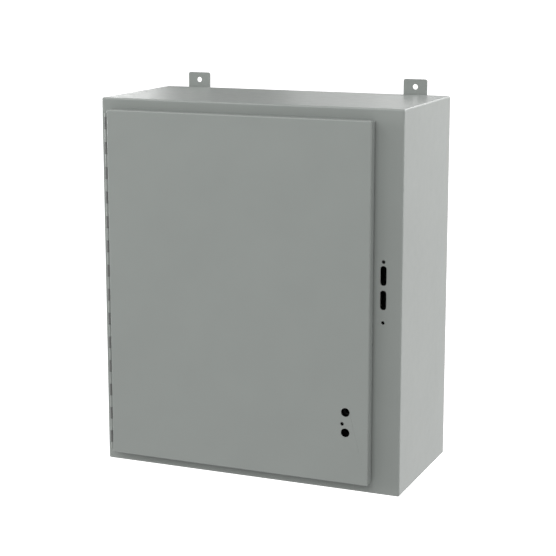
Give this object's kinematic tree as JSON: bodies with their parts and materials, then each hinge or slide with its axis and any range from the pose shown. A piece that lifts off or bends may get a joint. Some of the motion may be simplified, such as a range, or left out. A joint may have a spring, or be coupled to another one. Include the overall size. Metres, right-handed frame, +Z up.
{
  "type": "disconnect enclosure",
  "caption": "Grey wall-mount steel enclosure with disconnect cutouts, an overlapping piano-hinged door and a three-point latch without its handle.",
  "frame": {"origin": "centre of the four wall-mounting holes, on the wall plane", "axes": "+X to the right seen from the front, +Y into the wall, +Z up"},
  "size_m": [0.6446, 0.3288, 0.8256],
  "materials": {
    "enclosure_paint": "semi-gloss grey enamel",
    "panel_paint": "semi-gloss white enamel",
    "zinc_plate": "bright zinc plate",
    "black_oxide": "black oxide",
    "hinge_steel": "bare dark steel",
    "gasket_foam": "matt foam",
    "pocket_plastic": "matt, finely textured",
    "nylon": "satin"
  },
  "bodies": {
    "body": {"body_wrapper": "enclosure_paint", "top_cap": "enclosure_paint", "bottom_cap": "enclosure_paint", "front_frame": "enclosure_paint", "door_collar": "enclosure_paint", "disconnect_flange": "enclosure_paint", "lug_top_left": "enclosure_paint", "lug_top_right": "enclosure_paint", "lug_bottom_left": "enclosure_paint", "lug_bottom_right": "enclosure_paint", "hinge_body_leaf": "enclosure_paint", "hinge_pin": "zinc_plate", "panel_studs": "zinc_plate", "mounting_panel": "panel_paint", "panel_washers": "zinc_plate", "panel_nuts": "zinc_plate", "ground_stud": "zinc_plate", "ground_washer": "zinc_plate", "ground_nut": "zinc_plate"},
    "door": {"door_panel": "enclosure_paint", "hinge_door_leaf": "hinge_steel", "door_gasket": "gasket_foam", "door_bar_left": "enclosure_paint", "door_bar_right": "enclosure_paint", "data_pocket": "pocket_plastic", "pocket_rivets": "black_oxide", "latch_housing": "black_oxide", "rod_guide_upper": "zinc_plate", "rod_guide_middle": "zinc_plate", "rod_guide_lower": "zinc_plate", "door_bond_stud": "zinc_plate", "door_bond_nut": "zinc_plate"},
    "cam": {"latch_cam": "black_oxide", "cam_pins": "zinc_plate", "cam_retaining_ring": "zinc_plate"},
    "top_rod": {"top_latch_rod": "zinc_plate", "top_roller_pin": "zinc_plate"},
    "bottom_rod": {"bottom_latch_rod": "zinc_plate", "bottom_roller_pin": "zinc_plate"},
    "top_wheel": {"top_roller": "nylon"},
    "bottom_wheel": {"bottom_roller": "nylon"}
  },
  "joints": [
    {"name": "door_hinge", "type": "hinge", "parent": "body", "child": "door", "pos_m": [-0.31125, -0.30855, 0], "axis": [0, 0, -1], "range_deg": [0, 160]},
    {"name": "latch_turn", "type": "hinge", "parent": "door", "child": "cam", "pos_m": [0.2172, -0.3048, -0.2135], "axis": [0, 1, 0], "range_deg": [0, 90]},
    {"name": "top_rod_slide", "type": "slide", "parent": "door", "child": "top_rod", "axis": [0, 0, 1], "range_m": [0, 0.02545]},
    {"name": "bottom_rod_slide", "type": "slide", "parent": "door", "child": "bottom_rod", "axis": [0, 0, -1], "range_m": [0, 0.0255]},
    {"name": "top_roller_spin", "type": "hinge", "parent": "top_rod", "child": "top_wheel", "pos_m": [0.20184, -0.2931, 0.334], "axis": [1, 0, 0], "continuous": true},
    {"name": "bottom_roller_spin", "type": "hinge", "parent": "bottom_rod", "child": "bottom_wheel", "pos_m": [0.23256, -0.2931, -0.334], "axis": [1, 0, 0], "continuous": true}
  ],
  "couplings": [
    {"joint": "latch_turn", "follows": "top_rod_slide", "rad_per_m": 61.707},
    {"joint": "bottom_rod_slide", "follows": "top_rod_slide", "ratio": 1}
  ]
}
